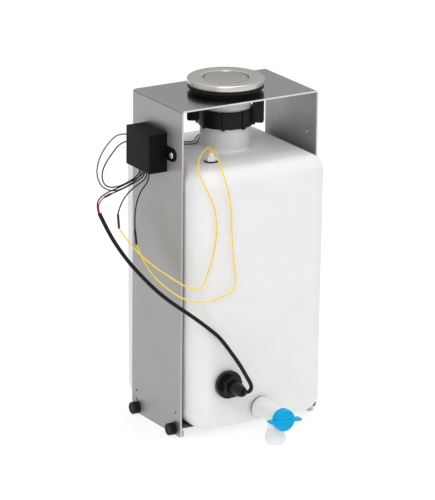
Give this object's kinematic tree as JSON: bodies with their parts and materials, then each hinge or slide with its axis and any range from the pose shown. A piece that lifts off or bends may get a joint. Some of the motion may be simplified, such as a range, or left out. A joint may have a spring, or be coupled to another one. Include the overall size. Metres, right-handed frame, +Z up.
{
  "type": "fresh water tank",
  "caption": "Portable fresh water tank in a stainless hanger with filler, level switches, relay module and drain tap.",
  "frame": {"origin": "on the filler's axis, in the plane of the hanger's two feet", "axes": "+X to the object's right, -Y towards the drain tap at the front, +Z up along the filler's axis"},
  "size_m": [0.2506, 0.2399, 0.4123],
  "materials": {
    "hanger_steel": "brushed",
    "knob_plastic": "satin, fluted",
    "tank_plastic": "natural polyethylene, slightly translucent",
    "nut_plastic": "satin",
    "white_plastic": "satin white",
    "filler_steel": "fine circular brushing",
    "seal_rubber": "matt black",
    "switch_plastic": "satin black",
    "bright_steel": "zinc plated",
    "handle_plastic": "gloss blue",
    "case_plastic": "moulded black",
    "board_laminate": "green solder mask",
    "terminal_plastic": "moulded",
    "potting_resin": "cast black",
    "cable_rubber": "extruded black",
    "sleeve_plastic": "shrink sleeve",
    "yellow_wire": "extruded yellow",
    "red_wire": "extruded red",
    "brown_wire": "extruded brown",
    "connector_plastic": "moulded black"
  },
  "bodies": {
    "hanger": {"hanger_bracket": "hanger_steel", "tank_shelf": "hanger_steel", "tank_shell": "tank_plastic", "filler_body": "white_plastic", "top_switch_body": "white_plastic", "top_switch_nut": "white_plastic", "drain_body": "white_plastic", "drain_locknut": "white_plastic", "drain_bonnet": "white_plastic", "filler_disc": "filler_steel", "union_seal": "seal_rubber", "filler_gasket": "seal_rubber", "sensor_seal": "seal_rubber", "gland_seal": "seal_rubber", "top_switch_seal": "seal_rubber", "drain_seal": "seal_rubber", "sensor_body": "switch_plastic", "sensor_locknut": "switch_plastic", "gland_nut": "switch_plastic", "float_pin": "bright_steel", "top_switch_clip": "bright_steel", "module_screws": "bright_steel", "module_nuts": "bright_steel", "module_case": "case_plastic", "module_cover": "case_plastic", "module_relay": "case_plastic", "module_board": "board_laminate", "module_terminals": "terminal_plastic", "module_wire_seal": "potting_resin", "sensor_cable": "cable_rubber", "sensor_black_core": "cable_rubber", "sensor_red_lead": "cable_rubber", "inner_wire_lead": "cable_rubber", "outer_wire_lead": "cable_rubber", "black_supply_lead": "cable_rubber", "sensor_red_sleeve": "sleeve_plastic", "inner_wire_sleeve": "sleeve_plastic", "outer_wire_sleeve": "sleeve_plastic", "inner_yellow_wire": "yellow_wire", "outer_yellow_wire": "yellow_wire", "sensor_red_core": "red_wire", "brown_supply_lead": "brown_wire", "supply_connector": "connector_plastic"},
    "front_left_knob": {"knob_left_front": "knob_plastic"},
    "back_left_knob": {"knob_left_back": "knob_plastic"},
    "front_right_knob": {"knob_right_front": "knob_plastic"},
    "back_right_knob": {"knob_right_back": "knob_plastic"},
    "coupling": {"coupling_nut": "nut_plastic"},
    "filler_plug": {"plug_cap": "filler_steel", "plug_body": "white_plastic", "plug_seal": "seal_rubber"},
    "low_float": {"sensor_float": "switch_plastic"},
    "high_float": {"top_switch_float": "white_plastic"},
    "tap_handle": {"drain_core": "white_plastic", "drain_core_seals": "seal_rubber", "drain_handle": "handle_plastic"}
  },
  "joints": [
    {"name": "front_left_knob_turn", "type": "hinge", "parent": "hanger", "child": "front_left_knob", "pos_m": [-0.092, -0.042, 0.0076], "axis": [1, 0, 0], "continuous": true},
    {"name": "back_left_knob_turn", "type": "hinge", "parent": "hanger", "child": "back_left_knob", "pos_m": [-0.092, 0.042, 0.0076], "axis": [1, 0, 0], "continuous": true},
    {"name": "front_right_knob_turn", "type": "hinge", "parent": "hanger", "child": "front_right_knob", "pos_m": [0.092, -0.042, 0.0076], "axis": [1, 0, 0], "continuous": true},
    {"name": "back_right_knob_turn", "type": "hinge", "parent": "hanger", "child": "back_right_knob", "pos_m": [0.092, 0.042, 0.0076], "axis": [1, 0, 0], "continuous": true},
    {"name": "coupling_nut_turn", "type": "hinge", "parent": "hanger", "child": "coupling", "pos_m": [0, 0, 0.366], "axis": [0, 0, 1], "continuous": true},
    {"name": "filler_plug_lift", "type": "slide", "parent": "hanger", "child": "filler_plug", "axis": [0, 0, 1], "range_m": [0, 0.06]},
    {"name": "low_float_swing", "type": "hinge", "parent": "hanger", "child": "low_float", "pos_m": [-0.0505, -0.058, 0.071], "axis": [1, 0, 0], "range_deg": [0, 45]},
    {"name": "high_float_slide", "type": "slide", "parent": "hanger", "child": "high_float", "axis": [0, 0, 1], "range_m": [0, 0.027]},
    {"name": "tap_handle_turn", "type": "hinge", "parent": "hanger", "child": "tap_handle", "pos_m": [-0.0045, -0.122, 0.034], "axis": [0, 1, 0], "range_deg": [-3.5, 86.5]}
  ]
}
